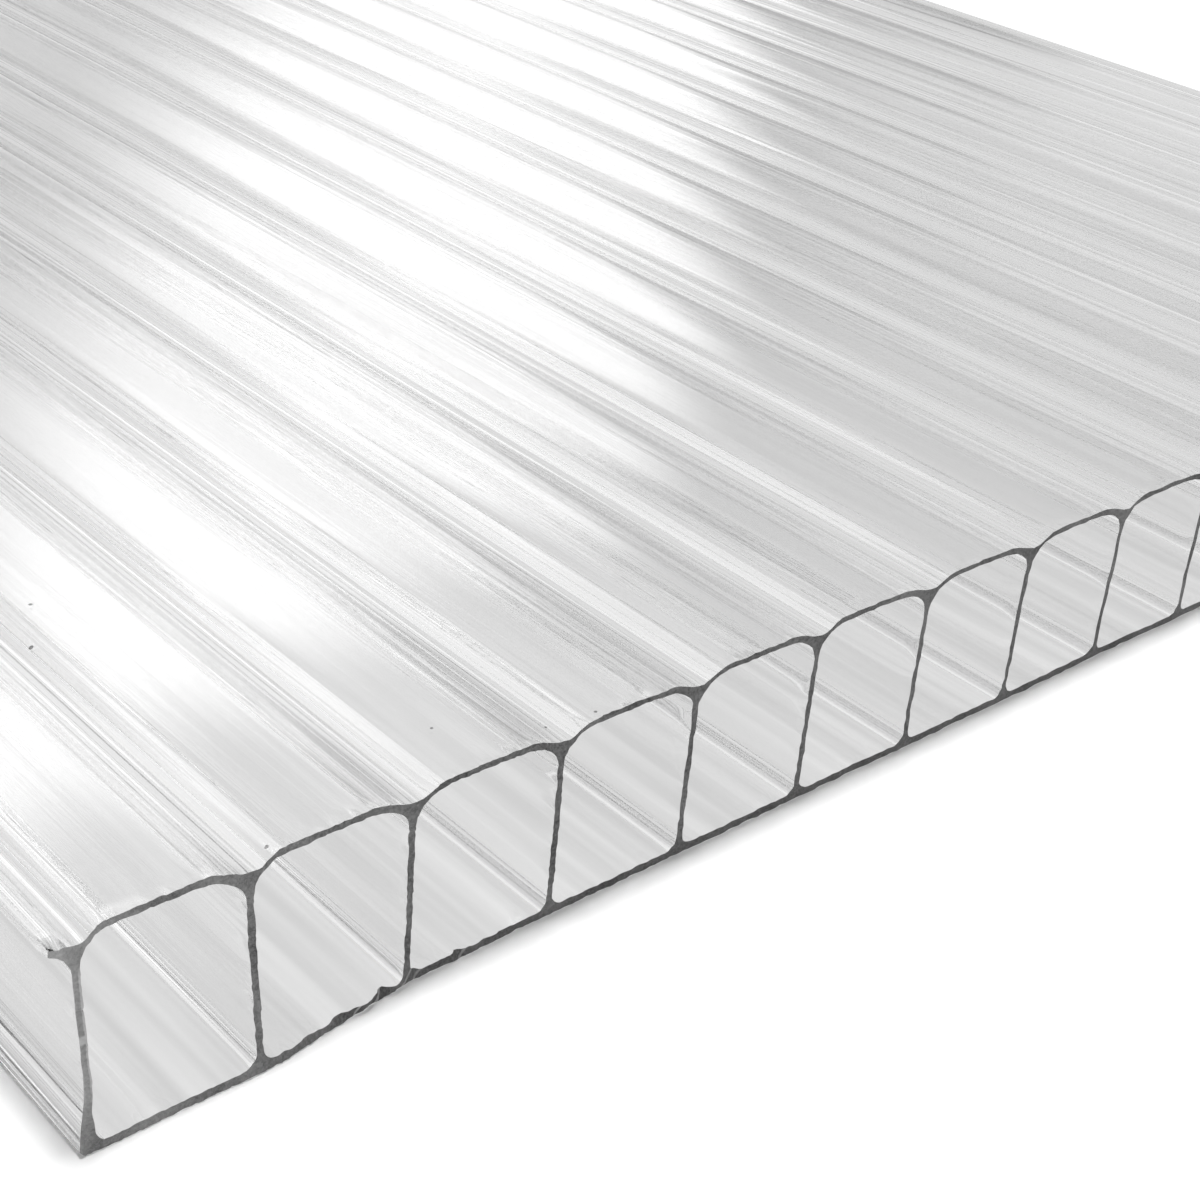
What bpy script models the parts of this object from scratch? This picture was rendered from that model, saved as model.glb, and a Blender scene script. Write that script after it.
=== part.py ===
"""Clear twinwall polycarbonate sheet, a cut piece.

The real sheet is one extrusion: a top skin and a bottom skin held apart by upright webs, with an
open flute between each web and the next. It is drawn here the same way, as one section that is
carried straight along the flutes.

X runs across the sheet, Y along the flutes and +Z up. The origin is under the middle of the sheet,
on the level that it lies on. Left and right are as seen along +Y.
"""
import math

import bpy

MM = 0.001

# The sheet as it is sold and cut
THICKNESS = 10.0 * MM
WEB_PITCH = 8.0 * MM
FLUTES = 17
LENGTH = 1000.0 * MM

# Its walls
TOP_SKIN = 0.32 * MM
BOTTOM_SKIN = 0.42 * MM
WEB = 0.36 * MM

# Fillets inside each flute. The hot sheet sags to one side as it leaves the die, so the upper one
# at the flute's right is wider than the one at its left.
TOP_FILLET_HEIGHT = 1.40 * MM
LEFT_FILLET_WIDTH = 1.80 * MM
RIGHT_FILLET_WIDTH = 2.05 * MM
BOTTOM_FILLET = 0.65 * MM

# The top skin sinks into a shallow valley over each web. Its lowest line lies a little to the right
# of the web, and its left bank is the longer one.
VALLEY_DEPTH = 0.50 * MM
VALLEY_SHIFT = 0.34 * MM
VALLEY_LEFT_BANK = 2.15 * MM
VALLEY_RIGHT_BANK = 1.35 * MM

# Each long edge is cut just outside a web, which leaves a stub of the next flute's top skin
EDGE_STUB = 0.72 * MM
EDGE_BEVEL = 0.25 * MM

# Chords that stand for one fillet, and for one bank of a valley
TOP_FILLET_CHORDS = 7
BOTTOM_FILLET_CHORDS = 4
BANK_CHORDS = 6

SHEET_COLOUR = (0.93, 0.95, 0.955, 1.0)
SHEET_ROUGHNESS = 0.08
SHEET_IOR = 1.585

CEILING = THICKNESS - TOP_SKIN
FLUTE_WIDTH = WEB_PITCH - WEB
FLUTE_HEIGHT = CEILING - BOTTOM_SKIN
QUARTER_TURN = math.pi / 2


def clear_scene():
    """Remove what is already in the scene."""
    for old in list(bpy.data.objects):
        bpy.data.objects.remove(old, do_unlink=True)


def spaced(start, end, chords):
    """Even steps from start to end, both included."""
    return [start + (end - start) * step / chords for step in range(chords + 1)]


def fillet(centre, width, height, start, end, chords):
    """Points on an ellipse from the start angle to the end angle, both included, in radians."""
    x, z = centre
    turns = spaced(start, end, chords)
    return [(x + width * math.cos(turn), z + height * math.sin(turn)) for turn in turns]


def room_for_fillet():
    """The most that one fillet may take of a flute's width or height.

    Two fillets side by side keep at least a web's thickness of flat wall between them.
    """
    return (min(FLUTE_WIDTH, FLUTE_HEIGHT) - WEB) / 2


def top_fillet(width):
    """The width and the height of an upper fillet, as far as the flute has room for it."""
    return min(width, room_for_fillet()), min(TOP_FILLET_HEIGHT, room_for_fillet())


def web_centres():
    """The webs' places across the sheet, from the left edge to the right."""
    return [(number - FLUTES / 2) * WEB_PITCH for number in range(FLUTES + 1)]


def valley_banks():
    """The widths of a valley's left and right bank, neither wider than half a flute."""
    return min(VALLEY_LEFT_BANK, FLUTE_WIDTH / 2), min(VALLEY_RIGHT_BANK, FLUTE_WIDTH / 2)


def top_face(web, offset):
    """The point of the top face at this offset from a web's centre.

    Each bank is half a wave of a cosine, so it leaves the flat and meets the other without a corner.
    """
    left_bank, right_bank = valley_banks()
    from_lowest = offset - VALLEY_SHIFT
    bank = left_bank if from_lowest < 0 else right_bank
    share = min(abs(from_lowest) / bank, 1.0)
    depth = VALLEY_DEPTH * 0.5 * (1 + math.cos(math.pi * share))
    return (web + offset, THICKNESS - depth)


def top_face_run(web, start, end):
    """The top face from one offset down to another, by way of the valley's lowest line."""
    run = spaced(start, VALLEY_SHIFT, BANK_CHORDS) + spaced(VALLEY_SHIFT, end, BANK_CHORDS)[1:]
    return [top_face(web, offset) for offset in run]


def flute_outline(centre):
    """One flute's wall: a rectangle with wide fillets above and small ones below."""
    below = min(BOTTOM_FILLET, room_for_fillet())
    right_width, height = top_fillet(RIGHT_FILLET_WIDTH)
    left_width, height = top_fillet(LEFT_FILLET_WIDTH)
    left = centre - FLUTE_WIDTH / 2
    right = centre + FLUTE_WIDTH / 2
    return (
        fillet((right - below, BOTTOM_SKIN + below), below, below,
               -QUARTER_TURN, 0, BOTTOM_FILLET_CHORDS)
        + fillet((right - right_width, CEILING - height), right_width, height,
                 0, QUARTER_TURN, TOP_FILLET_CHORDS)
        + fillet((left + left_width, CEILING - height), left_width, height,
                 QUARTER_TURN, 2 * QUARTER_TURN, TOP_FILLET_CHORDS)
        + fillet((left + below, BOTTOM_SKIN + below), below, below,
                 2 * QUARTER_TURN, 3 * QUARTER_TURN, BOTTOM_FILLET_CHORDS)
    )


def edge_below_stub(fillet_width):
    """A long edge from the underside up to the stub's tip, as distances out from the web's face.

    It climbs the end web's outer face and follows the next flute's fillet out under the stub.
    """
    width, height = top_fillet(fillet_width)
    turn = math.acos(max(1 - EDGE_STUB / width, 0.0))
    edge = [(-EDGE_BEVEL, 0.0), (0.0, EDGE_BEVEL)]
    edge += fillet((width, CEILING - height), width, height,
                   2 * QUARTER_TURN, 2 * QUARTER_TURN - turn, TOP_FILLET_CHORDS)
    if EDGE_STUB > width:
        edge.append((EDGE_STUB, CEILING))
    return edge


def sheet_outline():
    """The outside of the section: right edge, top face with its valleys, left edge, underside."""
    webs = web_centres()
    left_bank, right_bank = valley_banks()
    half_web = WEB / 2
    stub_tip = half_web + EDGE_STUB
    outline = [(webs[-1] + half_web + out, z) for out, z in edge_below_stub(LEFT_FILLET_WIDTH)]
    outline += top_face_run(webs[-1], stub_tip, VALLEY_SHIFT - left_bank)
    for web in reversed(webs[1:-1]):
        outline += top_face_run(web, VALLEY_SHIFT + right_bank, VALLEY_SHIFT - left_bank)
    outline += top_face_run(webs[0], VALLEY_SHIFT + right_bank, -stub_tip)
    left_edge = [(webs[0] - half_web - out, z) for out, z in edge_below_stub(RIGHT_FILLET_WIDTH)]
    return outline + left_edge[::-1]


def add_spline(curve, points):
    """Add one closed outline of straight chords to a flat curve."""
    spline = curve.splines.new("POLY")
    spline.points.add(len(points) - 1)
    for point, (x, y) in zip(spline.points, points):
        point.co = (x, y, 0.0, 1.0)
    spline.use_cyclic_u = True


def clear_polycarbonate():
    """The sheet's one material: clear, glossy and colourless."""
    material = bpy.data.materials.new("clear_polycarbonate")
    material.use_nodes = True
    shader = material.node_tree.nodes["Principled BSDF"]
    shader.inputs["Base Color"].default_value = SHEET_COLOUR
    shader.inputs["Metallic"].default_value = 0.0
    shader.inputs["Roughness"].default_value = SHEET_ROUGHNESS
    shader.inputs["IOR"].default_value = SHEET_IOR
    shader.inputs["Transmission Weight"].default_value = 1.0
    return material


def twinwall_sheet(collection):
    """The extruded sheet: its section stands on the X axis and runs along Y."""
    curve = bpy.data.curves.new("twinwall_sheet", "CURVE")
    curve.dimensions = "2D"
    curve.fill_mode = "BOTH"
    curve.extrude = LENGTH / 2
    add_spline(curve, sheet_outline())
    for web in web_centres()[:-1]:
        add_spline(curve, flute_outline(web + WEB_PITCH / 2))
    curve.materials.append(clear_polycarbonate())
    sheet = bpy.data.objects.new("twinwall_sheet", curve)
    sheet.rotation_euler = (QUARTER_TURN, 0.0, 0.0)
    collection.objects.link(sheet)


def build():
    """Build the sheet in a collection of its own."""
    clear_scene()
    collection = bpy.data.collections.new("multiwall_polycarbonate_sheet")
    bpy.context.scene.collection.children.link(collection)
    twinwall_sheet(collection)


build()
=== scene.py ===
"""A cut piece of clear twinwall polycarbonate sheet, dressed and lit for its picture.

X runs across the sheet, Y along the flutes and +Z up, in metres. Left and right are as seen along +Y,
and the cut end in the picture is the one at -Y. Sizes of the sheet are written in millimetres.
"""
import math

import bpy
import numpy as np
from mathutils import Matrix, Vector
from mathutils.geometry import delaunay_2d_cdt


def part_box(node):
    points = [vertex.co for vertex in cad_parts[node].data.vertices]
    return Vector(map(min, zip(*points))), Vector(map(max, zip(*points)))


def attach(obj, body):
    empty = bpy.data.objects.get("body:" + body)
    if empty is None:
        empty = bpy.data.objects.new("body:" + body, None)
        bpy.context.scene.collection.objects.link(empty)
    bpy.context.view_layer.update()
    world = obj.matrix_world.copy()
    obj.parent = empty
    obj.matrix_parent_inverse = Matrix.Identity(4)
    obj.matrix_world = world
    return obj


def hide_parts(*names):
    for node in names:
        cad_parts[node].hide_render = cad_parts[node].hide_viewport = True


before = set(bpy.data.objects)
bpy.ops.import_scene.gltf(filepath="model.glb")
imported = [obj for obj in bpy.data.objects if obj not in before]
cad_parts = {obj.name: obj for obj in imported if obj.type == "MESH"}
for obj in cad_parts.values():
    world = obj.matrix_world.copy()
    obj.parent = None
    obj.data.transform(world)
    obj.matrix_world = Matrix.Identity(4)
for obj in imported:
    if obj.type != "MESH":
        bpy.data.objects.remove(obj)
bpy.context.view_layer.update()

# THE SHEET
# One extrusion of clear polycarbonate: a top skin and a bottom skin that upright webs hold apart,
# with an open flute between each web and the next. It leaves the die hot and sags a little to one
# side, so the top skin sinks in a valley over each web and the upper fillets differ.

MM = 0.001
WEB_PITCH = 8.0
FLUTES = 17
TOP_SKIN = 0.32
BOTTOM_SKIN = 0.42
WEB = 0.36
TOP_FILLET_HEIGHT = 1.40
LEFT_FILLET_WIDTH = 1.80
RIGHT_FILLET_WIDTH = 2.05
BOTTOM_FILLET = 0.65
VALLEY_DEPTH = 0.50
VALLEY_SHIFT = 0.34
VALLEY_LEFT_BANK = 2.15
VALLEY_RIGHT_BANK = 1.35
EDGE_STUB = 0.72
EDGE_BEVEL = 0.25

sheet_low, sheet_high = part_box("twinwall_sheet")
THICKNESS = (sheet_high[2] - sheet_low[2]) / MM
FRONT_END = sheet_low[1] / MM
BACK_END = sheet_high[1] / MM
CEILING = THICKNESS - TOP_SKIN
FLUTE_WIDTH = WEB_PITCH - WEB
WEB_PLACES = (np.arange(FLUTES + 1) - FLUTES / 2) * WEB_PITCH

# The section has its finest chords at the left, which the picture sees from close by
FINE_CHORD = 0.14
COARSE_CHORD = 0.62
FINE_FLUTES = 2
GRADED_FLUTES = 9
FEWEST_ARC_CHORDS = 5


def chord_at(place):
    """Chord length at a place across the sheet.

    It is FINE_CHORD up to the last fine flute, then grows in a straight line to COARSE_CHORD.
    """
    flute = (place - WEB_PLACES[0]) / WEB_PITCH
    share = np.clip((flute - FINE_FLUTES) / (GRADED_FLUTES - FINE_FLUTES), 0.0, 1.0)
    return FINE_CHORD + (COARSE_CHORD - FINE_CHORD) * share


def straight(start, end):
    """Even points from start up to end, which is left out: start + (end - start) * k / n."""
    start, end = np.array(start, float), np.array(end, float)
    length = np.hypot(*(end - start))
    count = max(int(math.ceil(length / chord_at((start[0] + end[0]) / 2))), 1)
    share = np.arange(count)[:, None] / count
    return start + (end - start) * share


def arc(centre, width, height, first, last):
    """Points on an ellipse up to the last angle, which is left out.

    A point lies at (width * cosine of the angle, height * sine of the angle) from the centre.
    """
    length = abs(last - first) * (width + height) / 2
    count = max(int(math.ceil(length / chord_at(centre[0]))), FEWEST_ARC_CHORDS)
    turn = first + (last - first) * np.arange(count) / count
    return np.stack([centre[0] + width * np.cos(turn), centre[1] + height * np.sin(turn)], axis=1)


def flute_outline(middle):
    """A flute's wall, anticlockwise: a rectangle with wide fillets above and small ones below."""
    quarter = math.pi / 2
    left, right = middle - FLUTE_WIDTH / 2, middle + FLUTE_WIDTH / 2
    low, high = BOTTOM_SKIN + BOTTOM_FILLET, CEILING - TOP_FILLET_HEIGHT
    return np.concatenate([
        straight((left + BOTTOM_FILLET, BOTTOM_SKIN), (right - BOTTOM_FILLET, BOTTOM_SKIN)),
        arc((right - BOTTOM_FILLET, low), BOTTOM_FILLET, BOTTOM_FILLET, -quarter, 0),
        straight((right, low), (right, high)),
        arc((right - RIGHT_FILLET_WIDTH, high), RIGHT_FILLET_WIDTH, TOP_FILLET_HEIGHT, 0, quarter),
        straight((right - RIGHT_FILLET_WIDTH, CEILING), (left + LEFT_FILLET_WIDTH, CEILING)),
        arc((left + LEFT_FILLET_WIDTH, high), LEFT_FILLET_WIDTH, TOP_FILLET_HEIGHT,
            quarter, 2 * quarter),
        straight((left, high), (left, low)),
        arc((left + BOTTOM_FILLET, low), BOTTOM_FILLET, BOTTOM_FILLET, 2 * quarter, 3 * quarter),
    ])


def top_height(across):
    """Height of the top face: the thickness less VALLEY_DEPTH * (1 + cosine(pi * share)) / 2.

    share is the distance from a valley's lowest line over the width of that bank, at most 1.
    """
    web = WEB_PLACES[0] + np.round((across - WEB_PLACES[0]) / WEB_PITCH) * WEB_PITCH
    from_lowest = across - web - VALLEY_SHIFT
    bank = np.where(from_lowest < 0, VALLEY_LEFT_BANK, VALLEY_RIGHT_BANK)
    share = np.minimum(np.abs(from_lowest) / bank, 1.0)
    return THICKNESS - VALLEY_DEPTH * 0.5 * (1 + np.cos(np.pi * share))


def below_stub(width):
    """A long edge from the underside up to the stub's tip, as distances out from the web's face.

    It climbs the web's outer face and follows the next flute's upper fillet out under the stub.
    """
    height = CEILING - TOP_FILLET_HEIGHT
    turn = math.acos(1 - EDGE_STUB / width)
    rise = arc((width, height), width, TOP_FILLET_HEIGHT, math.pi, math.pi - turn)
    wall = straight((0.0, EDGE_BEVEL), (0.0, height))
    tip = (EDGE_STUB, height + TOP_FILLET_HEIGHT * math.sin(turn))
    return np.concatenate([[(-EDGE_BEVEL, 0.0)], wall, rise, [tip]])


def sheet_outline():
    """The outside of the section, clockwise: left edge, top face, right edge, underside."""
    left_face, right_face = WEB_PLACES[0] - WEB / 2, WEB_PLACES[-1] + WEB / 2
    left_edge = below_stub(RIGHT_FILLET_WIDTH) * (-1, 1) + (left_face, 0)
    right_edge = below_stub(LEFT_FILLET_WIDTH) + (right_face, 0)
    across = [left_face - EDGE_STUB]
    while across[-1] < right_face + EDGE_STUB:
        across.append(across[-1] + chord_at(across[-1]))
    across = np.array(across[:-1] + [right_face + EDGE_STUB])
    top = np.stack([across, top_height(across)], axis=1)
    places = [right_edge[0, 0]]
    while places[-1] > left_edge[0, 0]:
        places.append(places[-1] - chord_at(places[-1]))
    under = np.stack([places[1:-1], np.zeros(len(places) - 2)], axis=1)
    return np.concatenate([left_edge, top, right_edge[::-1], under])


LATTICE = 256


def drift(first, second, seed):
    """Smooth random heights between -1 and 1 over a plane.

    A square lattice carries a random height at each crossing. Between crossings the four nearest
    heights are blended along both directions by the S-curve 3 t^2 - 2 t^3.
    """
    lattice = np.random.default_rng(seed).uniform(-1.0, 1.0, (LATTICE, LATTICE))
    a, b = np.floor(first).astype(int), np.floor(second).astype(int)
    s, t = first - a, second - b
    s, t = s * s * (3 - 2 * s), t * t * (3 - 2 * t)
    a_next, b_next = (a + 1) % LATTICE, (b + 1) % LATTICE
    a, b = a % LATTICE, b % LATTICE
    near = lattice[a, b] * (1 - s) + lattice[a_next, b] * s
    far = lattice[a, b_next] * (1 - s) + lattice[a_next, b_next] * s
    return near * (1 - t) + far * t


# The saw ran out of square at the left: it left the bottom skin standing out as a tongue, which the
# top skin lacks, and it stepped back where the tongue ends. Everywhere it tore the edge a little.
TONGUE = 1.05
TONGUE_FULL = 1.10 * WEB_PITCH
TONGUE_END = 2.05 * WEB_PITCH
TEARS = ((0.040, 0.17), (0.035, 0.55), (0.035, 3.0))
FRONT_SEED = 5
BACK_SEED = 15
FRAY_SEED = 25
STUB_SEED = 26


def torn(across, up, seed):
    """Random tear of a sawn edge: the sum of depth * drift(place / size) over TEARS."""
    return sum(depth * drift(across / size, up / size, seed + number)
               for number, (depth, size) in enumerate(TEARS))


DEEPEST_TEAR = sum(depth for depth, size in TEARS)

# Chips along the upper edge of the bottom skin: the place in web pitches, the half width and the
# depth, negative where a splinter stands out
NICKS = ((1.30, 0.25, 0.12), (1.52, 0.45, 0.18), (1.70, 0.40, -0.16), (1.83, 0.25, 0.25),
         (1.93, 0.35, -0.18), (2.06, 0.20, 0.20), (2.35, 0.25, 0.20), (2.46, 0.30, -0.10))
NICK_HEIGHT = 0.75


def nicked(across, up):
    """How deep the chips go: the sum of depth * e^(-(distance / half width)^4).

    They grow with the height over the bottom skin's thickness and die away above it as
    e^(-(height / NICK_HEIGHT)^4).
    """
    from_edge = across - WEB_PLACES[0]
    chips = sum(depth * np.exp(-((from_edge - place * WEB_PITCH) / half) ** 4)
                for place, half, depth in NICKS)
    return chips * np.clip(up / BOTTOM_SKIN, 0.0, 1.0) * np.exp(-(up / NICK_HEIGHT) ** 4)


def front_cut(across, up):
    """How far along Y the front cut lies at a point of the section.

    It starts TONGUE inside the end, comes forward by TONGUE * (1 - height share) over the first
    flute and a bit, runs back to nothing by TONGUE_END, and has the tear and the chips added.
    """
    from_edge = across - WEB_PLACES[0]
    full = np.clip((TONGUE_END - from_edge) / (TONGUE_END - TONGUE_FULL), 0.0, 1.0)
    out = TONGUE * full * (1 - up / THICKNESS)
    plane = FRONT_END + TONGUE + DEEPEST_TEAR
    return np.maximum(plane - out + torn(across, up, FRONT_SEED) + nicked(across, up), FRONT_END)


def back_cut(across, up):
    """How far along Y the back cut lies: square, with the same small tear."""
    return BACK_END - DEEPEST_TEAR + torn(across, up, BACK_SEED)


# The saw also frayed the walls. Close to the front cut a wall is thicker where a burr hangs on it,
# and thinner where a chip broke out. The outer faces of the end webs stayed whole, and the stub of
# skin at the left was torn to a point.
FRAY = 0.028
FRAY_SIZE = 0.45
FRAY_REACH = 0.40
STUB_FRAY = 0.09
STUB_RAGGED = 0.13
STUB_FRAY_SIZE = 0.28
STUB_FROM = 0.2
SAME_FACE = 0.01


def past_end_web(across):
    """Whether a point lies on an end web's outer face or beyond it."""
    return np.abs(across) > WEB_PLACES[-1] + WEB / 2 - SAME_FACE


def fray(across, up):
    """How far a wall is eaten away at the front cut, negative where a burr stands on it.

    It is FRAY * drift, on the stub STUB_FRAY + STUB_RAGGED * drift, and nothing on the outer faces.
    """
    eaten = FRAY * drift(across / FRAY_SIZE, up / FRAY_SIZE, FRAY_SEED)
    outer_face = past_end_web(across) & (up < CEILING - TOP_FILLET_HEIGHT)
    stub = (across < WEB_PLACES[0] - WEB / 2 - STUB_FROM) & ~outer_face
    ragged = STUB_FRAY + STUB_RAGGED * drift(across / STUB_FRAY_SIZE, up / STUB_FRAY_SIZE, STUB_SEED)
    return np.where(outer_face, 0.0, np.where(stub, ragged, eaten))


# Web 0 leans in, because the strip was bent a little as its edge was cut free
LEAN = 0.50
LEAN_WIDTH = 1.25
LEAN_HEIGHT = 3.5


def lean(across, up):
    """How far web 0 and what is beside it lean to the right.

    LEAN * e^(-(distance to web 0 / LEAN_WIDTH)^2), from nothing at the underside by the S-curve
    3 t^2 - 2 t^3 of the height over LEAN_HEIGHT.
    """
    t = np.clip(up / LEAN_HEIGHT, 0.0, 1.0)
    return LEAN * np.exp(-((across - WEB_PLACES[0]) / LEAN_WIDTH) ** 2) * t * t * (3 - 2 * t)


# Web 0 is thicker at its foot, where the hot plastic ran together inside the first flute
WEDGE = 0.34
WEDGE_WIDTH = 0.9
WEDGE_MIDDLE = 0.7
WEDGE_HEIGHT = 1.1


def wedge(across, up):
    """How far web 0's inner face stands out at its foot, to the right.

    WEDGE * e^(-(distance to web 0 / WEDGE_WIDTH)^2) * e^(-((height - middle) / WEDGE_HEIGHT)^2), and
    nothing on the outer face and the bottom skin.
    """
    from_web = across - WEB_PLACES[0]
    inner = (from_web > 0) & (up > BOTTOM_SKIN)
    bulge = np.exp(-(from_web / WEDGE_WIDTH) ** 2 - ((up - WEDGE_MIDDLE) / WEDGE_HEIGHT) ** 2)
    return np.where(inner, WEDGE * bulge, 0.0)


# The top skin stands a little proud between the webs, as the air in the flutes blew it up
CROWN = 0.06


def crowned(across, up):
    """How far a point lies below the crown: CROWN * (1 + cosine of a turn for each web) / 2.

    It is nothing halfway between two webs, and below the top face it dies away with
    (height / thickness)^4.
    """
    from_web = (across - WEB_PLACES[0]) / WEB_PITCH
    return CROWN * 0.5 * (1 + np.cos(2 * np.pi * from_web)) * (up / THICKNESS) ** 4


# Below this length two places count as one, and below this area a triangle is left out
SAME_PLACE = 1e-6
NO_AREA = 1e-7


def into_wall(outline):
    """Unit directions from an outline into the wall, which lies on the outline's right.

    The direction along the outline is the next point less the one before; its right side is
    (forward's height, minus forward's way across).
    """
    ahead = np.roll(outline, -1, axis=0) - np.roll(outline, 1, axis=0)
    ahead /= np.maximum(np.hypot(ahead[:, 0], ahead[:, 1]), SAME_PLACE)[:, None]
    return np.stack([ahead[:, 1], -ahead[:, 0]], axis=1)


# The die drew lines along every face, deepest beside the webs, where the plastic shrank most.
# Between them the faces ripple a little.
LINE_DEPTH = 0.0045
LINE_DEPTH_ON_FLATS = 0.0010
LINE_DEPTH_OUTSIDE = 0.0070
LINE_DEPTH_AT_FOOT = 0.0200
FOOT_HEIGHT = 2.2
LINE_SIZE = 0.17
LINE_LENGTH = 400.0
RIPPLE_DEPTH = 0.006
RIPPLE_SIZE = 1.25
RIPPLE_LENGTH = 300.0
WEB_REACH = 1.5
RISE_WEIGHT = 1.7
LINE_SEED = 31
RIPPLE_SEED = 32


def drawn(across, up, along):
    """Depth of the die's lines and ripples below the true face, never negative.

    Each is depth * (1 + drift), where drift is taken over the way round the section and along it.
    The way round is across + RISE_WEIGHT * up, so skins and webs both pass through it. The lines'
    depth goes from the flats' to the full depth as e^(-(distance to the web / reach)^2), and on a
    long edge it grows toward the foot as e^(-(height / FOOT_HEIGHT)^4).
    """
    round_section = across + RISE_WEIGHT * up
    to_web = across - WEB_PLACES[0] - WEB_PITCH * np.round((across - WEB_PLACES[0]) / WEB_PITCH)
    beside_web = np.exp(-(to_web / WEB_REACH) ** 2)
    depth = LINE_DEPTH_ON_FLATS + (LINE_DEPTH - LINE_DEPTH_ON_FLATS) * beside_web
    foot = np.exp(-(up / FOOT_HEIGHT) ** 4)
    outside = LINE_DEPTH_OUTSIDE + (LINE_DEPTH_AT_FOOT - LINE_DEPTH_OUTSIDE) * foot
    depth = np.where(past_end_web(across), outside, depth)
    lines = depth * (1 + drift(round_section / LINE_SIZE, along / LINE_LENGTH, LINE_SEED))
    ripples = RIPPLE_DEPTH * (1 + drift(round_section / RIPPLE_SIZE, along / RIPPLE_LENGTH, RIPPLE_SEED))
    return lines + ripples


# Distances from the front cut at which the section is repeated, close together where the tear dies
# away and wide apart along the rest
NEAR_STATIONS = (0.0, 0.12, 0.3, 0.6, 1.1, 2.0, 3.5, 5.5, 8.0, 11.0, 15.0, 20.0, 27.0)
EVEN_STATIONS = 20
LAST_SPACING = 2.0


def stations():
    """Distances from the front cut at which the section is repeated, up to the back cut."""
    length = BACK_END - FRONT_END
    even = np.linspace(NEAR_STATIONS[-1], length - LAST_SPACING, EVEN_STATIONS)[1:]
    return np.concatenate([NEAR_STATIONS, even, [length]])


def carried(outline, distances):
    """An outline carried along the flutes.

    Y is (1 - share) * front cut + share * back cut. The outline is moved into the wall by the
    drawn lines and by fray * e^(-(distance / reach)^2), then to the right by the lean and the
    wedge of web 0 and down by the crown, but never out of the CAD section's box.
    """
    across, up = outline[:, 0], outline[:, 1]
    share = (distances / distances[-1])[:, None]
    along = front_cut(across, up) * (1 - share) + back_cut(across, up) * share
    fade = np.exp(-(distances / FRAY_REACH) ** 2)[:, None]
    inward = drawn(across, up, along) + fade * fray(across, up)
    moved = outline + inward[:, :, None] * into_wall(outline)
    moved[:, :, 0] += lean(across, up) + wedge(across, up)
    moved[:, :, 1] -= crowned(across, up)
    moved = np.clip(moved, (sheet_low[0] / MM, 0.0), (sheet_high[0] / MM, THICKNESS))
    return np.stack([moved[:, :, 0], along, moved[:, :, 1]], axis=2).reshape(-1, 3)


def wall_faces(count, rows, first):
    """Quads between neighbouring points of a closed outline and of neighbouring rows."""
    here = np.arange(count)
    after = (here + 1) % count
    row = first + np.arange(rows - 1)[:, None] * count
    return np.stack([row + here, row + after, row + count + after, row + count + here],
                    axis=2).reshape(-1, 4)


# The triangulation's output type that keeps to the inside of the outer edges
WITHIN_EDGES = 1


def end_triangles(outlines):
    """Triangles that close the section between its outside and its flutes.

    A triangle whose three corners lie on one flute's outline is the opening and is left out.
    """
    points = np.concatenate(outlines)
    owner = np.concatenate([np.full(len(o), n) for n, o in enumerate(outlines)])
    edges = []
    start = 0
    for outline in outlines:
        here = np.arange(len(outline))
        edges.append(np.stack([start + here, start + (here + 1) % len(outline)], axis=1))
        start += len(outline)
    found = delaunay_2d_cdt([Vector(p) for p in points], np.concatenate(edges).tolist(), [],
                            WITHIN_EDGES, SAME_PLACE)
    faces, sources = found[2], found[3]
    own_point = np.array([source[0] if source else -1 for source in sources])
    triangles = own_point[np.array([face for face in faces if len(face) == 3])]
    corners = owner[triangles]
    opening = (corners[:, 0] == corners[:, 1]) & (corners[:, 1] == corners[:, 2])
    opening &= corners[:, 0] > 0
    a, b, c = (points[triangles[:, k]] for k in range(3))
    turn = (b[:, 0] - a[:, 0]) * (c[:, 1] - a[:, 1]) - (b[:, 1] - a[:, 1]) * (c[:, 0] - a[:, 0])
    middle = (a + b + c) / 3
    outside = middle[:, 1] > top_height(middle[:, 0])
    keep = ~opening & (np.abs(turn) > NO_AREA) & ~outside
    triangles, turn = triangles[keep], turn[keep]
    triangles[turn < 0] = triangles[turn < 0][:, ::-1]
    return triangles


# The sheet's finishes, in the order of its material slots
TOP_FACE, FLUTE_WALL, LONG_EDGE, CUT_FACE = range(4)
SHARP_ANGLE = 38.0


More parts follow.
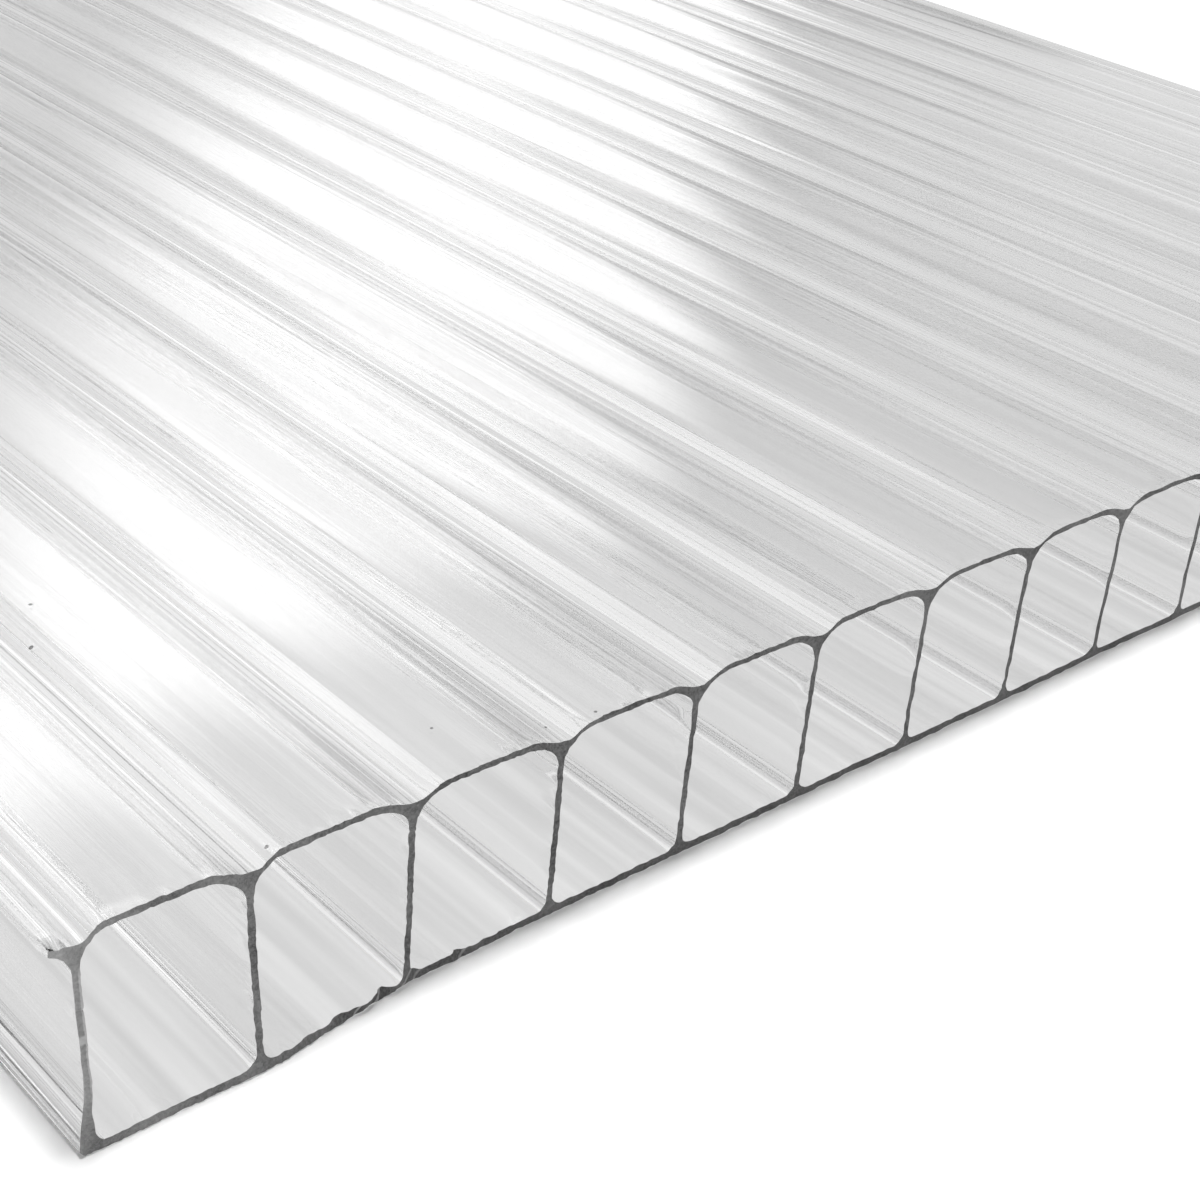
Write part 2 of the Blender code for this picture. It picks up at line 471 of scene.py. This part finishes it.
def sheet_mesh():
    """The whole sheet: one outside, the flutes and both cut ends, with shared corners."""
    outlines = [sheet_outline()] + [flute_outline(web + WEB_PITCH / 2) for web in WEB_PLACES[:-1]]
    distances = stations()
    corners, walls, front_points, back_points = [], [], [], []
    first = 0
    for outline in outlines:
        count = len(outline)
        corners.append(carried(outline, distances))
        walls.append(wall_faces(count, len(distances), first))
        front_points.append(first + np.arange(count))
        back_points.append(first + (len(distances) - 1) * count + np.arange(count))
        first += count * len(distances)
    triangles = end_triangles(outlines)
    front = np.concatenate(front_points)[triangles]
    back = np.concatenate(back_points)[triangles][:, ::-1]
    mesh = bpy.data.meshes.new("clear_twinwall_sheet")
    quads = np.concatenate(walls)
    mesh.from_pydata(np.concatenate(corners) * MM, [], quads.tolist() + front.tolist() + back.tolist())
    finish = np.full(len(mesh.polygons), FLUTE_WALL, dtype=np.int32)
    outside = outlines[0]
    on_top = np.abs(outside[:, 1] - top_height(outside[:, 0])) < SAME_PLACE
    on_top &= np.roll(on_top, -1)
    on_edge = np.abs(outside[:, 0]) > WEB_PLACES[-1]
    on_edge &= np.roll(on_edge, -1) & ~on_top & (outside[:, 1] < CEILING - TOP_FILLET_HEIGHT)
    finish[:len(outside) * (len(distances) - 1)] = np.tile(
        np.where(on_top, TOP_FACE, np.where(on_edge, LONG_EDGE, FLUTE_WALL)), len(distances) - 1)
    finish[len(quads):] = CUT_FACE
    mesh.polygons.foreach_set("material_index", finish)
    mesh.shade_smooth()
    mesh.set_sharp_from_angle(angle=math.radians(SHARP_ANGLE))
    return mesh


class Wire:
    """An output socket of a node tree. Python maths on it adds Math nodes, so a finish reads as a
    formula, and add() makes any other node."""

    def __init__(self, tree, socket=None):
        self.tree = tree
        self.socket = socket

    def add(self, kind, settings=None, inputs=None, output=0):
        """Add a node, set it up, feed its sockets and return one of its outputs."""
        node = self.tree.nodes.new(kind)
        for name, value in (settings or {}).items():
            if name == "stops":
                ramp = node.color_ramp
                while len(ramp.elements) < len(value):
                    ramp.elements.new(0.5)
                for element, (place, grey) in zip(ramp.elements, value):
                    element.position = place
                    element.color = (grey, grey, grey, 1.0)
            else:
                setattr(node, name, value)
        for name, value in (inputs or {}).items():
            if isinstance(value, Wire):
                self.tree.links.new(value.socket, node.inputs[name])
            else:
                node.inputs[name].default_value = value
        return Wire(self.tree, node.outputs[output] if node.outputs else None)

    def maths(self, operation, *values):
        return self.add("ShaderNodeMath", {"operation": operation}, dict(enumerate(values)))

    def __add__(self, other):
        return self.maths("ADD", self, other)

    def __sub__(self, other):
        return self.maths("SUBTRACT", self, other)

    def __mul__(self, other):
        return self.maths("MULTIPLY", self, other)

    def __truediv__(self, other):
        return self.maths("DIVIDE", self, other)

    def __rsub__(self, other):
        return self.maths("SUBTRACT", other, self)

    __radd__ = __add__
    __rmul__ = __mul__


def new_material(name):
    """An empty material and a wire to build its nodes from."""
    material = bpy.data.materials.new(name)
    material.use_nodes = True
    material.node_tree.nodes.clear()
    return material, Wire(material.node_tree)


def place_axes(wire):
    """The place on the piece, in millimetres, as three numbers."""
    place = wire.add("ShaderNodeTexCoord", output="Object")
    return [wire.add("ShaderNodeSeparateXYZ", None, {0: place}, axis) / MM for axis in range(3)]


def lines_across(place, size, detail):
    """Noise between 0 and 1, one half on average, over one number: lines about the size apart."""
    return place.add("ShaderNodeTexNoise", {"noise_dimensions": "1D"},
                     {"W": place, "Scale": 1 / size, "Detail": detail})


def streaks(x, y, width, length, detail):
    """Noise between 0 and 1, one half on average, drawn out along Y."""
    drawn_out = x.add("ShaderNodeCombineXYZ", None, {0: x / width, 1: y / length})
    return x.add("ShaderNodeTexNoise", {"noise_dimensions": "2D"},
                 {"Vector": drawn_out, "Scale": 1.0, "Detail": detail})


def ramp_up(value, start, end):
    """0 below the start, 1 above the end and a straight line between them."""
    return value.add("ShaderNodeMapRange", None, {"Value": value, "From Min": start, "From Max": end})


def as_grey(level):
    """A grey colour of this brightness."""
    return level.add("ShaderNodeCombineXYZ", None, {0: level, 1: level, 2: level})


CLEAR_GREY = 0.985
CLEAR_COLOUR = (CLEAR_GREY,) * 3 + (1.0,)
CLEAR_ROUGHNESS = 0.0
CLEAR_IOR = 1.585


def clear_shader(wire, varying):
    """Clear, glossy plastic, alike on every face but for what varies over it."""
    shader = wire.add("ShaderNodeBsdfPrincipled", None, {
        "Base Color": CLEAR_COLOUR,
        "Roughness": CLEAR_ROUGHNESS,
        "IOR": CLEAR_IOR,
        "Transmission Weight": 1.0,
        **varying,
    })
    wire.add("ShaderNodeOutputMaterial", None, {"Surface": shader})


# Fine dark lines run along the foot of the long edges, and a strip at the very bottom is darker
FOOT_LINE_GREY = 0.60
FOOT_LINE_SIZE = 0.12
FOOT_LINE_SLANT = 0.004
FOOT_LINE_DETAIL = 2.0
FOOT_LINE_STARTS = 0.45
FOOT_LINE_FULL = 0.65
FOOT_LINE_HEIGHT = 2.8
FOOT_LINE_FADE = 0.3
FOOT_DARKENING = 0.45
FOOT_DARK_HEIGHT = 1.0
FOOT_DARK_FADE = 0.5


def long_edge():
    """The outer faces of the end webs, clear but for dark lines and a darker strip at the foot."""
    material, wire = new_material("long_edge")
    x, y, z = place_axes(wire)
    low = 1 - ramp_up(z, FOOT_LINE_HEIGHT, FOOT_LINE_HEIGHT + FOOT_LINE_FADE)
    lines = lines_across(z + y * FOOT_LINE_SLANT, FOOT_LINE_SIZE, FOOT_LINE_DETAIL)
    dark_lines = ramp_up(lines, FOOT_LINE_STARTS, FOOT_LINE_FULL) * low
    darker_foot = 1 - ramp_up(z, FOOT_DARK_HEIGHT, FOOT_DARK_HEIGHT + FOOT_DARK_FADE)
    # The grey is darker along the lines low on the face and darker again in the strip at the very bottom
    grey = CLEAR_GREY * (1 - FOOT_LINE_GREY * dark_lines) * (1 - FOOT_DARKENING * darker_foot)
    clear_shader(wire, {"Base Color": as_grey(grey)})
    return material


def flute_wall():
    """The walls of the flutes and the underside, which are as drawn."""
    material, wire = new_material("flute_wall")
    clear_shader(wire, {})
    return material


# Hairlines, smears and a swell in the top face. The fine ones fade toward the right, from one place
# across the sheet to another.
HAIRLINE_DEPTH = 0.0008
HAIRLINE_SIZE = 0.12
HAIRLINE_SLANT = 0.002
HAIRLINE_DETAIL = 1.0
SMEAR_DEPTH = 0.016
SMEAR_WIDTH = 0.9
SMEAR_LENGTH = 50.0
SMEAR_DETAIL = 3.0
FINE_LOSS = 0.8
FINE_FULL = -45.0
FINE_FAINT = 5.0
SWELL_DEPTH = 0.05
SWELL_WIDTH = 4.5
SWELL_LENGTH = 60.0
SWELL_DETAIL = 1.0

# Specks of grit that stick to the top face near the cut end: across, along, radius
SPECKS = ((-57.52, -477.20, 0.10), (-59.05, -480.06, 0.11), (-48.56, -495.46, 0.07),
          (-58.76, -498.30, 0.09), (-43.92, -497.55, 0.07), (-41.83, -498.40, 0.08))
SPECK_COLOUR = (0.08, 0.08, 0.08, 1.0)


def top_face():
    """The top face: hairlines, smears and a slow swell run along it and bend what it mirrors."""
    material, wire = new_material("top_face")
    x, y, z = place_axes(wire)
    hairlines = lines_across(x + y * HAIRLINE_SLANT, HAIRLINE_SIZE, HAIRLINE_DETAIL)
    smears = streaks(x, y, SMEAR_WIDTH, SMEAR_LENGTH, SMEAR_DETAIL)
    swell = streaks(x, y, SWELL_WIDTH, SWELL_LENGTH, SWELL_DETAIL)
    fine = 1 - FINE_LOSS * ramp_up(x, FINE_FULL, FINE_FAINT)
    height = (hairlines * HAIRLINE_DEPTH + smears * SMEAR_DEPTH) * fine + swell * SWELL_DEPTH
    relief = wire.add("ShaderNodeBump", None, {"Distance": MM, "Height": height})
    place = wire.add("ShaderNodeCombineXYZ", None, {0: x, 1: y})
    specks = 0.0
    for across, along, radius in SPECKS:
        away = wire.add("ShaderNodeVectorMath", {"operation": "DISTANCE"},
                        {0: place, 1: (across, along, 0.0)}, "Value")
        specks = specks + wire.maths("LESS_THAN", away, radius)
    # Inputs 6 and 7 and output 2 are the Mix node's colours
    colour = wire.add("ShaderNodeMix", {"data_type": "RGBA"},
                      {0: specks, 6: CLEAR_COLOUR, 7: SPECK_COLOUR}, 2)
    clear_shader(wire, {"Base Color": colour, "Normal": relief})
    return material


# The saw left the cut rough and grained, so hardly any light comes out of it
CUT_GREY = 0.135
CUT_GREY_RANGE = 0.60
CUT_DARKEST = 0.03
CUT_ROUGHNESS = 0.55
GRAIN_SIZE = 0.2
GRAIN_DETAIL = 3.0
GRAIN_ROUGHNESS = 1.0
GRAIN_STRENGTH = 0.6
GRAIN_DEPTH = 0.05

# The saw only polished part of web 0, so its frosting is a thin ribbon there, with one gap
PALE_GREY = 0.62
RIBBON_PLACE = -0.05
RIBBON_WIDTH = 0.20
RIBBON_FRAY = 0.16
RIBBON_FOOT = 3.2
RIBBON_HEAD = 8.0
GAP_HEIGHT = 5.2
GAP_SIZE = 0.45
RIBBON_EDGE = 0.06
GAP_EDGE = 0.08
RIBBON_RIGHT = 0.4
RIBBON_RIGHT_FADE = 0.2
RIBBON_FOOT_FADE = 1.0
RIBBON_HEAD_FADE = 0.5

# The frosting is paler toward the left: round the first flute, in its upper left corner and on the
# stub. Each dies away from one distance to another beside web 0.
PALER_AT_LEFT = 0.09
LEFT_PLACES = (7.0, 13.0)
PALER_IN_CORNER = 0.12
CORNER_PLACES = (0.4, 4.0)
CORNER_HEIGHTS = (2.0, 4.0)
PALER_ON_STUB = 0.14
STUB_PLACES = (-0.7, 0.1)

# Pale flecks where splinters of clear plastic cross the bottom skin's cut: the place in web pitches
# and the half width. They slant to the right as they rise.
FLECKS = ((1.62, 0.07), (1.78, 0.10), (1.97, 0.09), (2.05, 0.06), (2.36, 0.07))
FLECK_SLANT = 0.8
FLECK_GREY = 0.50
FLECK_EDGE = 0.04
FLECK_HEIGHT = 1.5 * BOTTOM_SKIN
FLECK_FADE = 0.5 * BOTTOM_SKIN

# The frosting's grey also changes slowly along the cut
BAND_GREY_RANGE = 0.20
BAND_GREY_LENGTH = 3.5


def sawn_face():
    """The sawn end, torn and frosted, so that it looks dark against the clear skins."""
    material, wire = new_material("sawn_face")
    x, y, z = place_axes(wire)
    grain = wire.add("ShaderNodeTexNoise", None, {
        "Vector": wire.add("ShaderNodeCombineXYZ", None, {0: x, 1: y, 2: z}),
        "Scale": 1 / GRAIN_SIZE, "Detail": GRAIN_DETAIL, "Roughness": GRAIN_ROUGHNESS})
    beside = x - (WEB_PLACES[0] + LEAN)
    grey = (CUT_GREY + CUT_GREY_RANGE * (grain - 0.5)
            + PALER_AT_LEFT * (1 - ramp_up(beside, *LEFT_PLACES))
            + PALER_IN_CORNER * ramp_up(z, *CORNER_HEIGHTS) * (1 - ramp_up(beside, *CORNER_PLACES))
            + PALER_ON_STUB * (1 - ramp_up(beside, *STUB_PLACES)))
    slow = lines_across(x + z, BAND_GREY_LENGTH, 0.0)
    grey = wire.maths("MAXIMUM", grey + BAND_GREY_RANGE * (slow - 0.5), CUT_DARKEST)
    off_ribbon = (wire.maths("ABSOLUTE", beside - RIBBON_PLACE) * 2
                  + RIBBON_FRAY * 2 * (grain - 0.5) - RIBBON_WIDTH)
    in_gap = GAP_SIZE / 2 - wire.maths("ABSOLUTE", z - GAP_HEIGHT)
    pale = (wire.maths("MAXIMUM", ramp_up(off_ribbon, 0.0, RIBBON_EDGE), ramp_up(in_gap, 0.0, GAP_EDGE))
            * ramp_up(z, RIBBON_FOOT - RIBBON_FOOT_FADE, RIBBON_FOOT)
            * (1 - ramp_up(z, RIBBON_HEAD, RIBBON_HEAD + RIBBON_HEAD_FADE))
            * (1 - ramp_up(beside, RIBBON_RIGHT, RIBBON_RIGHT + RIBBON_RIGHT_FADE)))
    grey = grey + pale * (PALE_GREY - grey)
    flecks = 0.0
    for place, half in FLECKS:
        off_middle = wire.maths("ABSOLUTE", x - z * FLECK_SLANT - (WEB_PLACES[0] + place * WEB_PITCH))
        flecks = flecks + ramp_up(half - off_middle, -FLECK_EDGE, FLECK_EDGE)
    flecks = flecks * (1 - ramp_up(z, FLECK_HEIGHT, FLECK_HEIGHT + FLECK_FADE))
    grey = grey + flecks * (FLECK_GREY - grey)
    relief = wire.add("ShaderNodeBump", None, {
        "Strength": GRAIN_STRENGTH, "Distance": GRAIN_DEPTH * MM, "Height": grain})
    shader = wire.add("ShaderNodeBsdfPrincipled", None, {
        "Base Color": as_grey(grey),
        "Roughness": CUT_ROUGHNESS,
        "IOR": CLEAR_IOR,
        "Normal": relief,
    })
    wire.add("ShaderNodeOutputMaterial", None, {"Surface": shader})
    return material


def add_piece(name, mesh, *materials):
    """Put a mesh in the scene as it is, at the origin."""
    for material in materials:
        mesh.materials.append(material)
    piece = bpy.data.objects.new(name, mesh)
    bpy.context.scene.collection.objects.link(piece)
    return piece


sheet = add_piece("clear_twinwall_sheet", sheet_mesh(),
                  top_face(), flute_wall(), long_edge(), sawn_face())
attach(sheet, "root")
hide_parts("twinwall_sheet")

# THE STUDIO
# The sheet lies on plain white paper in a pale room, under one lamp. The room is white at the horizon
# and greyer above it, with a bright window beyond the sheet, which the top face mirrors as a band.

FLOOR_SIZE = 12.0
FLOOR_GAP = 0.00006
FLOOR_WHITE = 0.98

# The camera sees this share of the sheet's shadow on the paper. It dies away past the reach.
FLOOR_SHADE_SHARE = 0.85
FLOOR_SHADE_REACH = 160.0
FLOOR_SHADE_FADE = 500.0

# Painted shade and light: the paper seen through the sheet glows at this brightness in place of the
# sheet's shadow, and painted stripes of light, in place of light that comes through webs and flutes,
# change it
PAINTED_SHADE_UNDER_SHEET = 0.70
PAINTED_STRIPE_RANGE = 0.34
PAINTED_STRIPE_WIDTH = 1.1
PAINTED_STRIPE_LENGTH = 40.0
PAINTED_STRIPE_DETAIL = 2.0


def light_path(wire, output):
    """What Light Path says of the ray that meets this finish."""
    return wire.add("ShaderNodeLightPath", None, None, output)


def floor_paper():
    """White paper: the camera sees it as white, less a share of the shadow on it near the sheet.

    Mirrored in the sheet or seen through it, it glows with a painted shade, the brightness of paper in
    the sheet's shadow, and with painted stripes of light where light would come through webs and flutes.
    """
    material, wire = new_material("floor_paper")
    straight_on = light_path(wire, "Is Camera Ray")
    by_sheet = wire.maths("MINIMUM", light_path(wire, "Is Glossy Ray")
                          + light_path(wire, "Is Transmission Ray"), 1.0)
    paper = wire.add("ShaderNodeBsdfDiffuse", None, {"Color": (FLOOR_WHITE,) * 3 + (1.0,)})
    white = wire.add("ShaderNodeEmission", None, {"Color": (1.0, 1.0, 1.0, 1.0), "Strength": 1.0})
    x, y, z = place_axes(wire)
    painted_stripes = streaks(x, y, PAINTED_STRIPE_WIDTH, PAINTED_STRIPE_LENGTH, PAINTED_STRIPE_DETAIL)
    # Painted shade with painted stripes of light: an emission that stands in for the sheet's shadow on
    # the paper and for the light through its webs
    shaded = wire.add("ShaderNodeEmission", None, {
        "Color": (1.0, 1.0, 1.0, 1.0),
        "Strength": PAINTED_SHADE_UNDER_SHEET + PAINTED_STRIPE_RANGE * (painted_stripes - 0.5)})
    past_end = wire.maths("MAXIMUM", wire.maths("ABSOLUTE", y) - BACK_END, 0.0)
    away = wire.add("ShaderNodeVectorMath", {"operation": "LENGTH"},
                    {0: wire.add("ShaderNodeCombineXYZ", None, {0: x, 1: past_end})}, "Value")
    shaded_share = FLOOR_SHADE_SHARE * (1 - ramp_up(away, FLOOR_SHADE_REACH,
                                                    FLOOR_SHADE_REACH + FLOOR_SHADE_FADE))
    direct = wire.add("ShaderNodeMixShader", None,
                      {0: straight_on * (1 - shaded_share), 1: paper, 2: white})
    mixed = wire.add("ShaderNodeMixShader", None, {0: by_sheet, 1: direct, 2: shaded})
    wire.add("ShaderNodeOutputMaterial", None, {"Surface": mixed})
    return material


half_floor = FLOOR_SIZE / 2
floor_mesh = bpy.data.meshes.new("floor")
floor_mesh.from_pydata([(x * half_floor, y * half_floor, -FLOOR_GAP)
                        for x, y in ((-1, -1), (1, -1), (1, 1), (-1, 1))], [], [(0, 1, 2, 3)])
add_piece("floor", floor_mesh, floor_paper())

# Brightness of the room at each height of the direction, which is the sine of its elevation, and
# the share of it that reaches what is matt, which the lamp lights
ROOM = ((0.0, 1.0), (0.10, 1.0), (0.22, 0.70), (0.42, 0.66), (0.58, 0.92), (1.0, 0.86))
ROOM_ON_MATT = 0.22

# Places in the room are given by azimuth from +Y towards +X and by elevation, in degrees

# The window has straight sides that fade, and its top and its left side slant
WINDOW_STRENGTH = 2.6
WINDOW_RIGHT = 45.8
WINDOW_RIGHT_FADE = 3.5
WINDOW_TOP = 49.0
WINDOW_TOP_SLOPE = 0.5
WINDOW_TOP_FADE = 4.5
WINDOW_LEFT = 41.7
WINDOW_LEFT_SLOPE = 0.583
WINDOW_LEFT_FADE = 8.0
WINDOW_SILL = 10.0
WINDOW_SILL_FADE = 8.0

# Soft rectangles of the room: left and right azimuth, lowest and highest elevation, the fades of the
# sides and of the levels. The wall beside the window is in its own shade, and a dark cupboard
# stands at its foot with a lit wall to its right. A skylight shows in the valleys' right banks, but
# not to light that has gone through the sheet.
WALL = (WINDOW_RIGHT, 190.0, 14.0, 36.0, 3.5, 8.0)
WALL_STRENGTH = 0.78
CUPBOARD = (WINDOW_RIGHT, 55.0, -10.0, 13.0, 4.0, 4.0)
CUPBOARD_STRENGTH = 0.25
LIT_WALL = (49.0, 70.0, 15.0, 21.5, 4.0, 4.0)
LIT_WALL_STRENGTH = 1.35
SKYLIGHT = (-22.0, 22.0, 41.0, 57.0, 6.0, 4.0)
SKYLIGHT_STRENGTH = 3.5


def inside(value, fade):
    """1 where a distance inward from an edge is large, 0 where it is negative, an S-curve between."""
    return value.add("ShaderNodeMapRange", {"interpolation_type": "SMOOTHSTEP"},
                     {"Value": value, "From Min": -fade / 2, "From Max": fade / 2})


def patch(azimuth, elevation, place):
    """1 inside a soft rectangle of the room and 0 outside."""
    left, right, low, high, side_fade, level_fade = place
    return (inside(azimuth - left, side_fade) * inside(right - azimuth, side_fade)
            * inside(elevation - low, level_fade) * inside(high - elevation, level_fade))


world = bpy.data.worlds.new("studio")
bpy.context.scene.world = world
# Only mirrored and passing rays have to find the window, so it isn't sampled as a lamp would be
world.cycles.sampling_method = "NONE"
world.use_nodes = True
world.node_tree.nodes.clear()
sky = Wire(world.node_tree)
heading = [sky.add("ShaderNodeSeparateXYZ", None,
                   {0: sky.add("ShaderNodeTexCoord", None, None, "Generated")}, axis)
           for axis in range(3)]
azimuth = sky.maths("ARCTAN2", heading[0], heading[1]) * math.degrees(1)
elevation = sky.maths("ARCSINE", heading[2]) * math.degrees(1)
window = (inside(WINDOW_RIGHT - azimuth, WINDOW_RIGHT_FADE)
          * inside(WINDOW_TOP - elevation - azimuth * WINDOW_TOP_SLOPE, WINDOW_TOP_FADE)
          * inside(azimuth + elevation * WINDOW_LEFT_SLOPE - WINDOW_LEFT, WINDOW_LEFT_FADE)
          * inside(elevation - WINDOW_SILL, WINDOW_SILL_FADE))
wall, cupboard, lit_wall, skylight = (patch(azimuth, elevation, place)
                                      for place in (WALL, CUPBOARD, LIT_WALL, SKYLIGHT))
room = sky.add("ShaderNodeValToRGB", {"stops": ROOM}, {0: heading[2]})
matt = light_path(sky, "Is Diffuse Ray")
off_top = 1 - sky.maths("MINIMUM", light_path(sky, "Transmission Depth"), 1.0)
level = ((1 - wall * (1 - WALL_STRENGTH)) * (1 - cupboard * (1 - CUPBOARD_STRENGTH))
         + window * (WINDOW_STRENGTH - 1) + lit_wall * (LIT_WALL_STRENGTH - 1)
         + skylight * off_top * (SKYLIGHT_STRENGTH - 1)) * (1 + matt * (ROOM_ON_MATT - 1))
backdrop = sky.add("ShaderNodeBackground", None, {"Color": room, "Strength": level})
sky.add("ShaderNodeOutputWorld", None, {"Surface": backdrop})


def toward(azimuth, elevation):
    """The unit direction at an azimuth from +Y towards +X and an elevation, both in degrees."""
    a, e = math.radians(azimuth), math.radians(elevation)
    return Vector((math.sin(a) * math.cos(e), math.cos(a) * math.cos(e), math.sin(e)))


# The lamp hangs high over the near end of the sheet
LAMP_AIM = Vector((-0.035, -0.46, 0.01))
LAMP_AZIMUTH = -15.0
LAMP_ELEVATION = 85.6
LAMP_DISTANCE = 2.0
LAMP_SIZE = 0.34
LAMP_POWER = 37.0


def soft_lamp(name, azimuth, elevation, distance, size, power):
    """A square lamp that faces LAMP_AIM.

    It lights what is matt, straight or through the sheet, but no clear face mirrors it to the camera.
    """
    lamp = bpy.data.lights.new(name, "AREA")
    lamp.shape = "SQUARE"
    lamp.size = size
    lamp.energy = power
    lamp.use_nodes = True
    lamp.node_tree.nodes.clear()
    glow = Wire(lamp.node_tree)
    off_matt, mirrored, passed = (
        glow.maths("MINIMUM", light_path(glow, depth), 1.0)
        for depth in ("Diffuse Depth", "Glossy Depth", "Transmission Depth"))
    lit = glow.maths("MAXIMUM", off_matt, 1 - glow.maths("MAXIMUM", mirrored, passed))
    glow.add("ShaderNodeOutputLight", None,
             {"Surface": glow.add("ShaderNodeEmission", None, {"Strength": lit})})
    holder = bpy.data.objects.new(name, lamp)
    direction = toward(azimuth, elevation)
    holder.location = LAMP_AIM + direction * distance
    holder.rotation_euler = direction.to_track_quat("Z", "Y").to_euler()
    bpy.context.scene.collection.objects.link(holder)


soft_lamp("overhead_lamp", LAMP_AZIMUTH, LAMP_ELEVATION, LAMP_DISTANCE, LAMP_SIZE, LAMP_POWER)

# THE CAMERA
# It stands a hand's breadth from the near corner of the cut end and looks down along the flutes.
CAMERA_AIM = Vector((-0.0353, -0.4912, 0.0100))
CAMERA_DISTANCE = 0.1022
CAMERA_AZIMUTH = 43.79
CAMERA_DIP = 29.88
CAMERA_ROLL = 5.43
CAMERA_LENS = 64.5
CAMERA_SENSOR = 36.0
CAMERA_CLIP = 0.005

forward = toward(CAMERA_AZIMUTH, -CAMERA_DIP)
sideways = forward.cross(Vector((0, 0, 1))).normalized()
upright = sideways.cross(forward)
roll = math.radians(CAMERA_ROLL)
right = sideways * math.cos(roll) + upright * math.sin(roll)
up = right.cross(forward)
camera_data = bpy.data.cameras.new("camera")
camera_data.lens = CAMERA_LENS
camera_data.sensor_width = CAMERA_SENSOR
camera_data.clip_start = CAMERA_CLIP
camera = bpy.data.objects.new("camera", camera_data)
turned = Matrix((right, up, -forward)).transposed()
camera.matrix_world = Matrix.Translation(CAMERA_AIM - forward * CAMERA_DISTANCE) @ turned.to_4x4()
bpy.context.scene.collection.objects.link(camera)
bpy.context.scene.camera = camera

# Light crosses many webs in the far flutes, and each crossing takes two bounces. What is matt is lit
# by the lamp and one bounce.
MOST_BOUNCES = 32

scene = bpy.context.scene
scene.view_settings.view_transform = "Standard"
scene.cycles.max_bounces = MOST_BOUNCES
scene.cycles.transmission_bounces = MOST_BOUNCES
scene.cycles.glossy_bounces = MOST_BOUNCES
scene.cycles.diffuse_bounces = 1
